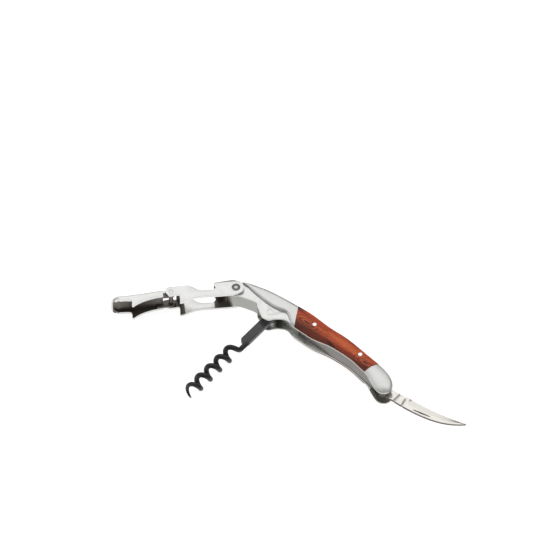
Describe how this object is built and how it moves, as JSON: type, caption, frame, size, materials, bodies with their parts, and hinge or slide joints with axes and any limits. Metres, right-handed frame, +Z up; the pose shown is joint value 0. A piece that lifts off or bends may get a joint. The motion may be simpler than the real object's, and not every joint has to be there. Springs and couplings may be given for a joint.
{
  "type": "lever corkscrew",
  "caption": "Folding waiter's corkscrew with a two-step bottle lever, a coated worm, a curved foil knife and wooden handle scales, shown opened.",
  "frame": {"origin": "centre of the opened tool's footprint, on the surface it lies on", "axes": "+X along the handle towards the knife, +Y towards the handle's back, +Z up through the tool's thickness, parallel to every pivot"},
  "size_m": [0.2026, 0.0866, 0.0136],
  "materials": {
    "satin_steel": "satin stamped stainless steel",
    "polished_steel": "polished stainless steel",
    "wood": "oiled red hardwood with dark figure",
    "coated_wire": "black non-stick coating, satin, over steel wire",
    "blade_steel": "ground cutlery steel",
    "pin_steel": "bright dressed pin ends"
  },
  "bodies": {
    "handle": {"near_liner": "satin_steel", "far_liner": "satin_steel", "neck_block": "satin_steel", "knife_spring": "satin_steel", "spring_pins": "pin_steel", "neck_pins": "pin_steel", "near_front_bolster": "polished_steel", "far_front_bolster": "polished_steel", "near_rear_bolster": "polished_steel", "far_rear_bolster": "polished_steel", "near_scale": "wood", "far_scale": "wood", "scale_pins": "pin_steel", "lever_rivet": "pin_steel", "worm_pin": "pin_steel", "worm_spacers": "satin_steel", "blade_pin": "pin_steel", "blade_spacers": "satin_steel"},
    "first_lever": {"first_lever": "satin_steel", "hinge_pin": "pin_steel"},
    "second_lever": {"second_lever": "satin_steel"},
    "worm": {"worm": "coated_wire"},
    "blade": {"blade": "blade_steel"}
  },
  "joints": [
    {"name": "lever_pivot", "type": "hinge", "parent": "handle", "child": "first_lever", "pos_m": [-0.0533, 0.02678, 0.0068], "axis": [0, 0, 1], "range_deg": [0, 127.2]},
    {"name": "lever_hinge", "type": "hinge", "parent": "first_lever", "child": "second_lever", "pos_m": [-0.07892, 0.00061, 0.0068], "axis": [0, 0, 1], "range_deg": [-60, 0]},
    {"name": "worm_pivot", "type": "hinge", "parent": "handle", "child": "worm", "pos_m": [-0.02825, 0.02738, 0.0068], "axis": [0, 0, 1], "range_deg": [0, 89.7]},
    {"name": "blade_pivot", "type": "hinge", "parent": "handle", "child": "blade", "pos_m": [0.0517, 0.03128, 0.0068], "axis": [0, 0, 1], "range_deg": [0, 157]}
  ],
  "couplings": [
    {"joint": "lever_pivot", "follows": "worm_pivot", "ratio": 1.418}
  ]
}
